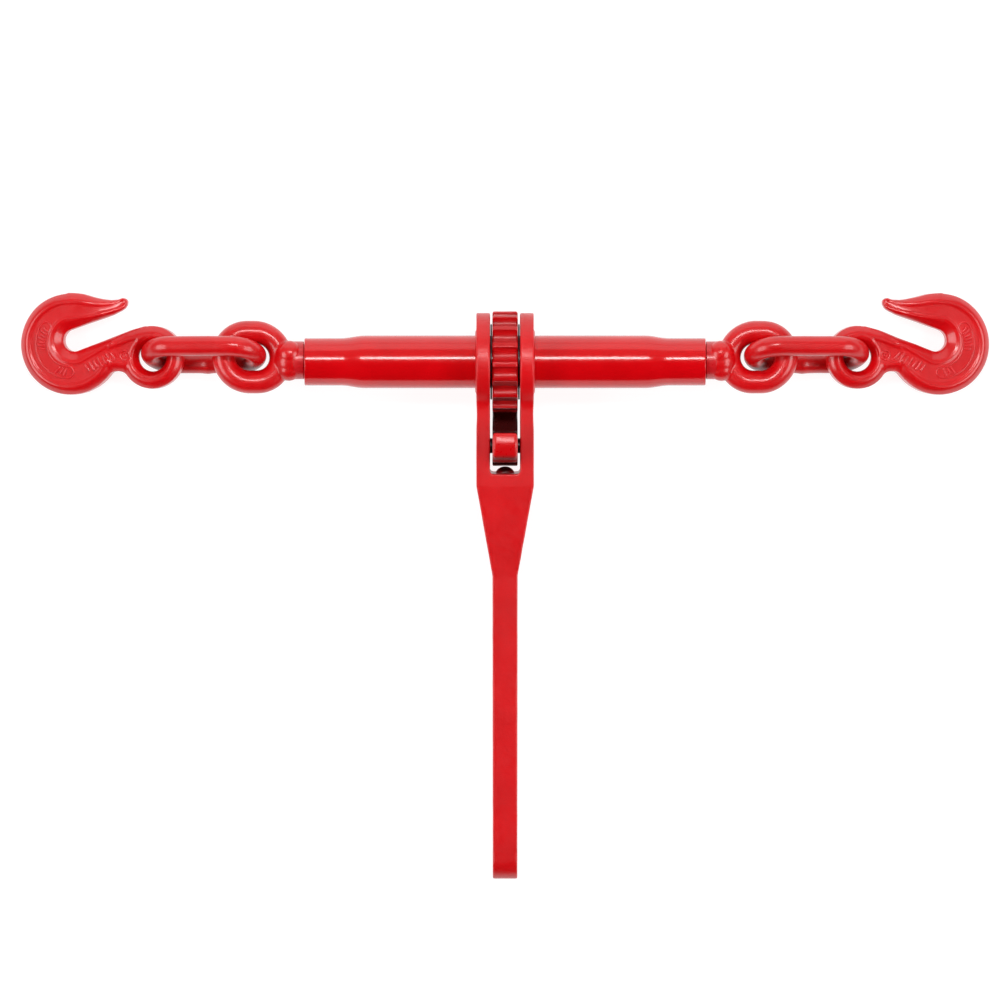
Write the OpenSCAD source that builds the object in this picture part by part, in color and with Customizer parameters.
// Ratchet load binder with an eye screw, a link and a grab hook at each end.
// It lies on its side: the barrel runs along X, the handle points to -Y and +Z is up.
// The origin is at the middle of its underside.

/* [Barrel] */
// Length of the barrel
barrel_len = 254; // [254:1:270]
// Outside diameter of the barrel
barrel_d = 33.4; // [32.6:0.1:33.8]
// Outside diameter of its swaged ends
swage_d = 30; // [28.6:0.1:31]
// Length of each swaged end
swage_len = 24; // [18:1:28]
// Length of the taper behind each swaged end
swage_taper = 12; // [6:1:18]
// Bore between the two threads
relief_d = 24.4; // [24:0.1:25]
// Length of the thread in each end
thread_len = 20; // [18:1:20]

/* [Eye screws] */
// Outside diameter of the thread
screw_d = 22.2; // [21.6:0.1:22.6]
// Travel of each screw out of the barrel
screw_travel = 100; // [60:1:100]
// Diameter of the neck outside the barrel
neck_d = 24.6; // [24:0.1:26]
// Length of the neck, up to its domed head
neck_len = 9; // [7:0.5:10]
// Diameter of the bar that the eye is bent from
eye_bar_d = 14.6; // [14:0.1:14.6]
// Radius of the eye at the middle of its bar
eye_r = 15.75; // [15.75:0.05:16]
// Height of the eye's middle above the screw's axis
eye_rise = 3; // [0:0.1:3]

/* [Chain links] */
// Diameter of the link's bar
link_bar_d = 12.8; // [12.4:0.1:12.8]
// Width inside the link
link_inner_w = 18.2; // [18.2:0.1:18.8]
// Length inside the link
link_inner_len = 54.4; // [54:0.1:54.8]
// Roll of the link about its length, as it lies
link_roll = 20; // [17:0.5:20]

/* [Grab hooks] */
// Radius of the hook's bowl
bowl_r = 32.1; // [31:0.1:33]
// Thickness of the bowl
bowl_t = 18; // [16:0.5:19]
// Outer radius of the hook's eye
hook_eye_r = 19.9; // [19.5:0.1:20.2]
// Radius of the hole in the hook's eye
hook_hole_r = 9; // [8.8:0.1:9.2]
// Thickness of the hook's eye
hook_eye_t = 14.6; // [13:0.1:14.6]
// Half the width of the throat that grips the chain
throat_r = 7.1; // [6.8:0.1:7.2]

/* [Handle] */
// From the barrel's axis to the far end of the handle
handle_len = 328.5; // [300:0.5:360]
// Radius of the two ears round the barrel
ear_r = 31; // [30:0.5:31]
// Gap between the ears
fork_gap = 19; // [18.5:0.1:20]
// Width across the ears
fork_w = 36.4; // [34:0.1:38]
// From the barrel's axis to the bottom of the slot
slot_bottom = 70.3; // [70:0.1:71]
// Width of the grip
grip_w = 15.9; // [14:0.1:18]
// Depth of the grip
grip_depth = 28; // [26:0.5:30]
// Depth of the fork below the ears
fork_depth = 36; // [34:0.5:38]

/* [Ratchet] */
// Number of teeth on the gear
gear_teeth = 16; // [16]
// Radius to the tips of the teeth
gear_tip_r = 32; // [31.5:0.1:32]
// Radius to the roots of the teeth
gear_root_r = 26.5; // [26:0.1:27]
// Width of the gear
gear_w = 16; // [14:0.5:17]
// From the barrel's axis to the pawl's pin
pawl_drop = 53.2; // [53:0.1:53.5]
// Diameter of the pawl's pin
pawl_pin_d = 9.5; // [9:0.1:9.6]
// Width of the pawl
pawl_w = 15.9; // [14:0.1:16.4]
// Turn of the pawl from the middle until a tooth is home
pawl_swing = 28.4; // [28:0.1:29]
// Turn of the pawl from the middle, as it lies
pawl_rest = 18.2; // [16:0.1:18.4]

/* [Hidden] */
$fn = 64;

red = "#c8101c";
steel = "#5a5a5e";

// Gaps between parts
run_gap = 0.08;
ear_gap = 0.1;
fixed_gap = 0.02;
neck_gap = 0.8;

half_len = barrel_len / 2;
barrel_r = barrel_d / 2;
screw_r = screw_d / 2;
eye_bar_r = eye_bar_d / 2;
link_bar_r = link_bar_d / 2;

// Eye screw, with its eye stretched a little along X
stop_pin_r = 2;
stop_pin_x = half_len - thread_len - screw_travel - stop_pin_r - 0.8;
screw_inner_end = stop_pin_x - 3;
eye_stretch = 2.4;
neck_start = half_len + neck_gap;
eye_x = neck_start + neck_len + 23.35;
// Middle of the bar on the far side of the eye, which the link swings about
pivot_x = eye_x + eye_r + eye_stretch;

// Link, in the frame of that pivot
link_half_w = link_inner_w / 2 + link_bar_r;
link_half_len = link_inner_len / 2 + link_bar_r;
link_inner_x = -21;
link_x = link_inner_x + link_half_len;
link_rise = 1.5;

// Hook, in the frame of the middle of its eye
hook_x = link_x + link_half_len - 0.6;
bowl_x = 52.8;
bowl_y = 8.5;
rim_half_t = 5;
rim_bevel = 4;
throat_angle = 159.4;
throat_x = 50.4;
throat_y = 10.9;
throat_wall = 9;
throat_flare = 4;
web_half_t = 7.2;
tip_half_t = 5;

// The hook's rim, the handle's end and the gear all touch the ground
lie_h = gear_tip_r;
hook_reach = hook_x + bowl_x + bowl_r - rim_bevel;
tail_tilt = asin(lie_h / norm([hook_reach, bowl_t / 2])) - atan(bowl_t / 2 / hook_reach);
grip_end_r = grip_depth / 2 - 1;
handle_tilt = asin((lie_h - grip_end_r) / (handle_len - grip_end_r));

// Handle
shoulder = 78;
grip_start = 135;
plunger_bore_end = 102;

// Gear and pawl
tooth_pitch = 360 / gear_teeth;
tooth_tip_half = 2.9;
tooth_root_half = 7.2;
pawl_mesh = 1.5 * tooth_pitch;
pawl_boss_r = 9.2;
cam_r = 12.8;
plunger_r = 5.9;
plunger_tip = pawl_drop + cam_r + 0.3;

// Places the whole binder on the ground, with the origin under its middle
handle_end_y = (handle_len - grip_end_r) * cos(handle_tilt) + grip_end_r;
hook_top_y = eye_rise + bowl_y + bowl_r;
module on_ground() {
    translate([0, (handle_end_y - hook_top_y) / 2, lie_h]) children();
}

// The handle's own frame, drooping until its end meets the ground
module handle_frame() {
    on_ground() rotate([handle_tilt, 0, 0]) children();
}

// One end of the binder: 1 is the right end, -1 the left
module end_frame(side) {
    on_ground() mirror([side < 0 ? 1 : 0, 0, 0]) children();
}

// The link and the hook hang down together about the eye's far bar
module tail_frame(side) {
    end_frame(side) translate([pivot_x, eye_rise, 0]) rotate([0, tail_tilt, 0]) children();
}

// Stands an outline drawn in Y and Z up on the X axis
module across_x(width) {
    rotate([90, 0, 90]) linear_extrude(height = width, center = true) children();
}

module bar_x(r, from, to) {
    translate([from, 0, 0]) rotate([0, 90, 0]) cylinder(r = r, h = to - from);
}

module bar_y(r, from, to) {
    translate([0, from, 0]) rotate([-90, 0, 0]) cylinder(r = r, h = to - from);
}

// A closed loop of round bar: two half rings and two straights
module bar_loop(r, bar_r, half_straight) {
    for (end = [0, 180])
        rotate([0, 0, end]) {
            translate([half_straight, 0, 0]) rotate([0, 0, -90])
                rotate_extrude(angle = 180) translate([r, 0]) circle(r = bar_r);
            translate([0, r, 0]) bar_x(bar_r, -half_straight, half_straight);
        }
}

// ---- Handle ----

function mirrored(points) = [for (i = [len(points) - 1:-1:0]) [points[i][0], -points[i][1]]];

// Side view of the handle: the ears' ring, the fork, and the grip with its round end
module handle_side() {
    fillet = 10;
    fork_h = fork_depth / 2;
    fillet_h = fork_h + fillet;
    fillet_y = -sqrt(pow(ear_r + fillet, 2) - pow(fillet_h, 2));
    start = atan2(-fillet_h, -fillet_y);
    top = concat([0.7 * [fillet_y, fillet_h]],
        [for (k = [0:8]) let (a = start - k * (90 + start) / 8)
            [fillet_y + fillet * cos(a), fillet_h + fillet * sin(a)]],
        [[-shoulder, fork_h], [-grip_start, grip_depth / 2],
            [grip_end_r - handle_len, grip_end_r]]);
    circle(r = ear_r, $fn = 96);
    polygon(concat(top, mirrored(top)));
    translate([grip_end_r - handle_len, 0]) circle(r = grip_end_r);
}

// Front view of the handle, with the slot between its ears
module handle_front() {
    half_w = fork_w / 2;
    corner = 2;
    end_half = grip_w / 2 - 0.2;
    difference() {
        polygon([[-half_w, ear_r + 1], [half_w, ear_r + 1], [half_w, -shoulder],
            [grip_w / 2, -grip_start], [end_half, -handle_len - 1],
            [-end_half, -handle_len - 1], [-grip_w / 2, -grip_start], [-half_w, -shoulder]]);
        translate([-fork_gap / 2, corner - slot_bottom]) square([fork_gap, slot_bottom + ear_r]);
        translate([corner - fork_gap / 2, -slot_bottom]) square([fork_gap - 2 * corner, 2 * corner]);
        for (end = [-1, 1])
            translate([end * (fork_gap / 2 - corner), corner - slot_bottom]) circle(r = corner);
    }
}

module handle() {
    color(red) handle_frame() difference() {
        intersection() {
            across_x(2 * fork_w) handle_side();
            linear_extrude(height = 4 * ear_r, center = true) handle_front();
        }
        bar_x(barrel_r + ear_gap, -fork_w, fork_w);
        translate([0, -pawl_drop, 0]) bar_x(pawl_pin_d / 2 + fixed_gap, -fork_w, fork_w);
        bar_y(plunger_r + run_gap, -plunger_bore_end, 0);
    }
}

// ---- Pawl ----

module pawl_pin() {
    chamfer = 0.8;
    r = pawl_pin_d / 2;
    end = fork_w / 2;
    color(steel) handle_frame() translate([0, -pawl_drop, 0]) rotate([0, 90, 0])
        rotate_extrude() polygon([[0, -end], [r - chamfer, -end], [r, chamfer - end],
            [r, end - chamfer], [r - chamfer, end], [0, end]]);
}

function turned(p, a) = [p[0] * cos(a) - p[1] * sin(a), p[0] * sin(a) + p[1] * cos(a)];

// A point beside the gear, out from its middle and across the tooth space that the front
// tooth drops into, in the pawl's own frame
function meshed(out, across) =
    let (a = 180 - pawl_mesh)
    turned([out * cos(a) - across * sin(a) + pawl_drop, out * sin(a) + across * cos(a)],
        pawl_swing);

// The front arm and its tooth, from the top of the pawl round to the bottom
pawl_arm = [[8.6, 3], [11, 15], meshed(33.6, 4.3), meshed(27.2, 1.2), meshed(27.2, -1.2),
    meshed(33.6, -4.3), [11, 33], [7, 33.1], [3.4, 31.9], [0.8, 29.9], [-0.9, 27.3], [-2, 24],
    [-3.2, 20], [-8.4, 5]];

// Side view of the pawl: its boss, two toothed arms, and the cam that the plunger presses on
module pawl_side() {
    difference() {
        union() {
            circle(r = pawl_boss_r);
            polygon(concat(pawl_arm, mirrored(pawl_arm)));
            intersection() {
                circle(r = cam_r);
                polygon([[0, 0], [-16, 14], [-20, 0], [-16, -14]]);
            }
        }
        for (side = [-1, 1])
            rotate(180 + side * pawl_swing) translate([cam_r + plunger_r, 0])
                circle(r = plunger_r + 0.6);
        circle(r = pawl_pin_d / 2 + run_gap);
    }
}

module pawl() {
    color(red) handle_frame() translate([0, -pawl_drop, 0]) rotate([pawl_rest, 0, 0])
        across_x(pawl_w) pawl_side();
}

// Domed plunger whose stem guides the spring under it
module pawl_plunger() {
    skirt = 12;
    stem_r = 2.8;
    stem = 7;
    middle = -plunger_tip - plunger_r;
    color(steel) handle_frame() {
        intersection() {
            translate([0, middle, 0]) sphere(r = plunger_r);
            bar_y(plunger_r, middle, -plunger_tip);
        }
        bar_y(plunger_r, middle - skirt, middle);
        bar_y(stem_r, middle - skirt - stem, middle - skirt);
    }
}

// Coil spring between the plunger and the bottom of its bore
spring_top = -plunger_tip - plunger_r - 12 - 0.1;
spring_len = plunger_bore_end + spring_top - 0.1;
spring_wire_r = 0.7;
spring_r = 4.4;
spring_turns = 4;
spring_steps = 18;
spring_sides = 8;

module pawl_spring() {
    rings = spring_turns * spring_steps;
    pitch = (spring_len - 2 * spring_wire_r) / spring_turns;
    points = [for (i = [0:rings], j = [0:spring_sides - 1])
        let (a = 360 * i / spring_steps, b = -360 * j / spring_sides,
            r = spring_r + spring_wire_r * cos(b))
        [r * cos(a), spring_top - spring_wire_r - pitch * i / spring_steps
            + spring_wire_r * sin(b), r * sin(a)]];
    faces = concat(
        [[for (j = [0:spring_sides - 1]) spring_sides - 1 - j]],
        [for (i = [0:rings - 1], j = [0:spring_sides - 1])
            let (k = (j + 1) % spring_sides, a = i * spring_sides, b = a + spring_sides)
            [a + j, a + k, b + k, b + j]],
        [[for (j = [0:spring_sides - 1]) rings * spring_sides + j]]);
    color(steel) handle_frame() polyhedron(points, faces);
}

// ---- Barrel and gear ----

module barrel() {
    edge = 1.2;
    r = barrel_r;
    end_r = swage_d / 2;
    bore = relief_d / 2;
    thread = screw_r + run_gap;
    taper_x = half_len - swage_len;
    relief_x = half_len - thread_len;
    right = [[r, taper_x - swage_taper], [end_r, taper_x], [end_r, half_len - edge],
        [end_r - edge, half_len], [thread + edge / 2, half_len], [thread, half_len - edge / 2],
        [thread, relief_x], [bore, relief_x - 0.2]];
    color(red) on_ground() rotate([handle_tilt, 0, 0]) difference() {
        rotate([0, 90, 0]) rotate_extrude() polygon(concat(right, mirrored(right)));
        drive_pin_place() bar_y(drive_pin_r + fixed_gap, 0, barrel_r + 1);
    }
}

drive_pin_r = 3;

// The drive pin stands in the bottom of a tooth space
module drive_pin_place() {
    rotate([tooth_pitch / 2 - 90, 0, 0]) children();
}

module gear_side() {
    polygon([for (i = [0:gear_teeth - 1], k = [[-tooth_root_half, gear_root_r],
        [-tooth_tip_half, gear_tip_r], [tooth_tip_half, gear_tip_r],
        [tooth_root_half, gear_root_r]])
        let (a = i * tooth_pitch + k[0]) [k[1] * cos(a), k[1] * sin(a)]]);
}

module ratchet_gear() {
    chamfer = 1;
    half = gear_w / 2;
    color(red) handle_frame() difference() {
        intersection() {
            across_x(gear_w) gear_side();
            rotate([0, 90, 0]) rotate_extrude(convexity = 4)
                polygon([[barrel_r + fixed_gap, -half], [gear_tip_r - chamfer, -half],
                    [gear_tip_r + 1, 1 + chamfer - half], [gear_tip_r + 1, half - chamfer - 1],
                    [gear_tip_r - chamfer, half], [barrel_r + fixed_gap, half]]);
        }
        drive_pin_place() bar_y(drive_pin_r + fixed_gap, 0, gear_tip_r);
    }
}

// Spring pin that keys the gear to the barrel
module gear_drive_pin() {
    color(steel) handle_frame() drive_pin_place() difference() {
        bar_y(drive_pin_r, relief_d / 2 + 0.3, gear_root_r - 1);
        bar_y(drive_pin_r / 2, 0, gear_root_r);
    }
}

// ---- Screws ----

module screw(side) {
    chamfer = 1.5;
    head_x = neck_start + neck_len;
    neck_r = neck_d / 2;
    color(red) end_frame(side) difference() {
        union() {
            rotate([0, 90, 0]) rotate_extrude()
                polygon([[0, screw_inner_end], [screw_r - chamfer, screw_inner_end],
                    [screw_r, screw_inner_end + chamfer], [screw_r, neck_start],
                    [neck_r - 1, neck_start], [neck_r, neck_start + 1], [neck_r, head_x],
                    [0, head_x]]);
            intersection() {
                translate([head_x, 0, 0]) sphere(r = neck_r);
                bar_x(neck_r, head_x, head_x + neck_r);
            }
        }
        translate([stop_pin_x, 0, -screw_d]) cylinder(r = stop_pin_r + fixed_gap, h = 2 * screw_d);
    }
}

// Eye of bent bar, welded to the screw's domed head
module eye(side) {
    color(red) end_frame(side) translate([eye_x, eye_rise, 0])
        bar_loop(eye_r, eye_bar_r, eye_stretch);
}

// Cross pin that stops the screw before it leaves its thread
module stop_pin(side) {
    half = relief_d / 2 - 0.3;
    color(steel) end_frame(side) translate([stop_pin_x, 0, -half])
        cylinder(r = stop_pin_r, h = 2 * half);
}

// ---- Link and hook ----

module link(side) {
    color(red) tail_frame(side) translate([link_x, link_rise, 0]) rotate([90 - link_roll, 0, 0])
        bar_loop(link_half_w, link_bar_r, link_half_len - link_half_w);
}

// Where a circle of radius f sits in the notch between the bowl and the eye
function notch_centre(f) =
    let (span = norm([bowl_x, bowl_y]),
        a = (pow(hook_eye_r + f, 2) - pow(bowl_r + f, 2) + span * span) / (2 * span),
        h = sqrt(pow(hook_eye_r + f, 2) - a * a),
        e = [bowl_x, bowl_y] / span)
    [a * e[0] + h * e[1], a * e[1] - h * e[0]];

module hook_web() {
    notch_r = 7;
    notch = notch_centre(notch_r);
    difference() {
        polygon([[0, 0], [4.5, 19.3], [10, 18.2], [15.4, 16.6], [42, 6.6], [bowl_x, bowl_y],
            notch]);
        translate(notch) circle(r = notch_r);
    }
}

// The pointed tip that curls up from the bowl and guides the chain in
module hook_tip() {
    polygon([[54, 40.6], [45, 39.8], [38.5, 38.4], [32.1, 37], [27, 36.4], [22.4, 36.8],
        [19.6, 37.4], [16.8, 36.2], [16.6, 33.9], [19.2, 31], [45.5, 20.4], [60, 24]]);
    translate([18.9, 35]) circle(r = 2.5);
}

// The throat: straight walls with a round end, flared towards both faces
module throat() {
    reach = 70;
    half_wall = throat_wall / 2;
    top = bowl_t / 2 + 1;
    flare = throat_flare * (top - half_wall) / (bowl_t / 2 - half_wall);
    translate([throat_x, throat_y, 0]) rotate([0, 0, throat_angle]) {
        cylinder(r = throat_r, h = 2 * top, center = true);
        translate([0, -throat_r, -top]) cube([reach, 2 * throat_r, 2 * top]);
        for (face = [0, 1])
            mirror([0, 0, face]) {
                translate([0, 0, half_wall])
                    cylinder(r1 = throat_r, r2 = throat_r + flare, h = top - half_wall);
                rotate([90, 0, 90]) linear_extrude(height = reach)
                    polygon([[-throat_r, half_wall], [throat_r, half_wall],
                        [throat_r + flare, top], [-throat_r - flare, top]]);
            }
    }
}

module hook(side) {
    half_t = bowl_t / 2;
    eye_half = hook_eye_t / 2;
    color(red) tail_frame(side) translate([hook_x, 0, 0]) difference() {
        union() {
            translate([bowl_x, bowl_y, 0]) rotate_extrude(convexity = 4)
                polygon([[0, -half_t], [bowl_r - rim_bevel, -half_t], [bowl_r, -rim_half_t],
                    [bowl_r, rim_half_t], [bowl_r - rim_bevel, half_t], [0, half_t]]);
            rotate_extrude(convexity = 4)
                polygon([[0, -eye_half], [hook_eye_r - 2.9, -eye_half],
                    [hook_eye_r, 2.9 - eye_half], [hook_eye_r, eye_half - 2.9],
                    [hook_eye_r - 2.9, eye_half], [0, eye_half]]);
            linear_extrude(height = 2 * web_half_t, center = true) hook_web();
            linear_extrude(height = 2 * tip_half_t, center = true) hook_tip();
        }
        throat();
        // The hole of the eye, countersunk from both faces
        rotate_extrude(convexity = 4)
            polygon([[0, -eye_half - 1], [hook_hole_r + 5.4, -eye_half - 1], [hook_hole_r, -1],
                [hook_hole_r, 1], [hook_hole_r + 5.4, eye_half + 1], [0, eye_half + 1]]);
    }
}

handle();
pawl_pin();
pawl_spring();
pawl_plunger();
pawl();
barrel();
ratchet_gear();
gear_drive_pin();
screw(-1);  // left_screw
eye(-1);  // left_eye
stop_pin(-1);  // left_stop_pin
link(-1);  // left_link
hook(-1);  // left_hook
screw(1);  // right_screw
eye(1);  // right_eye
stop_pin(1);  // right_stop_pin
link(1);  // right_link
hook(1);  // right_hook
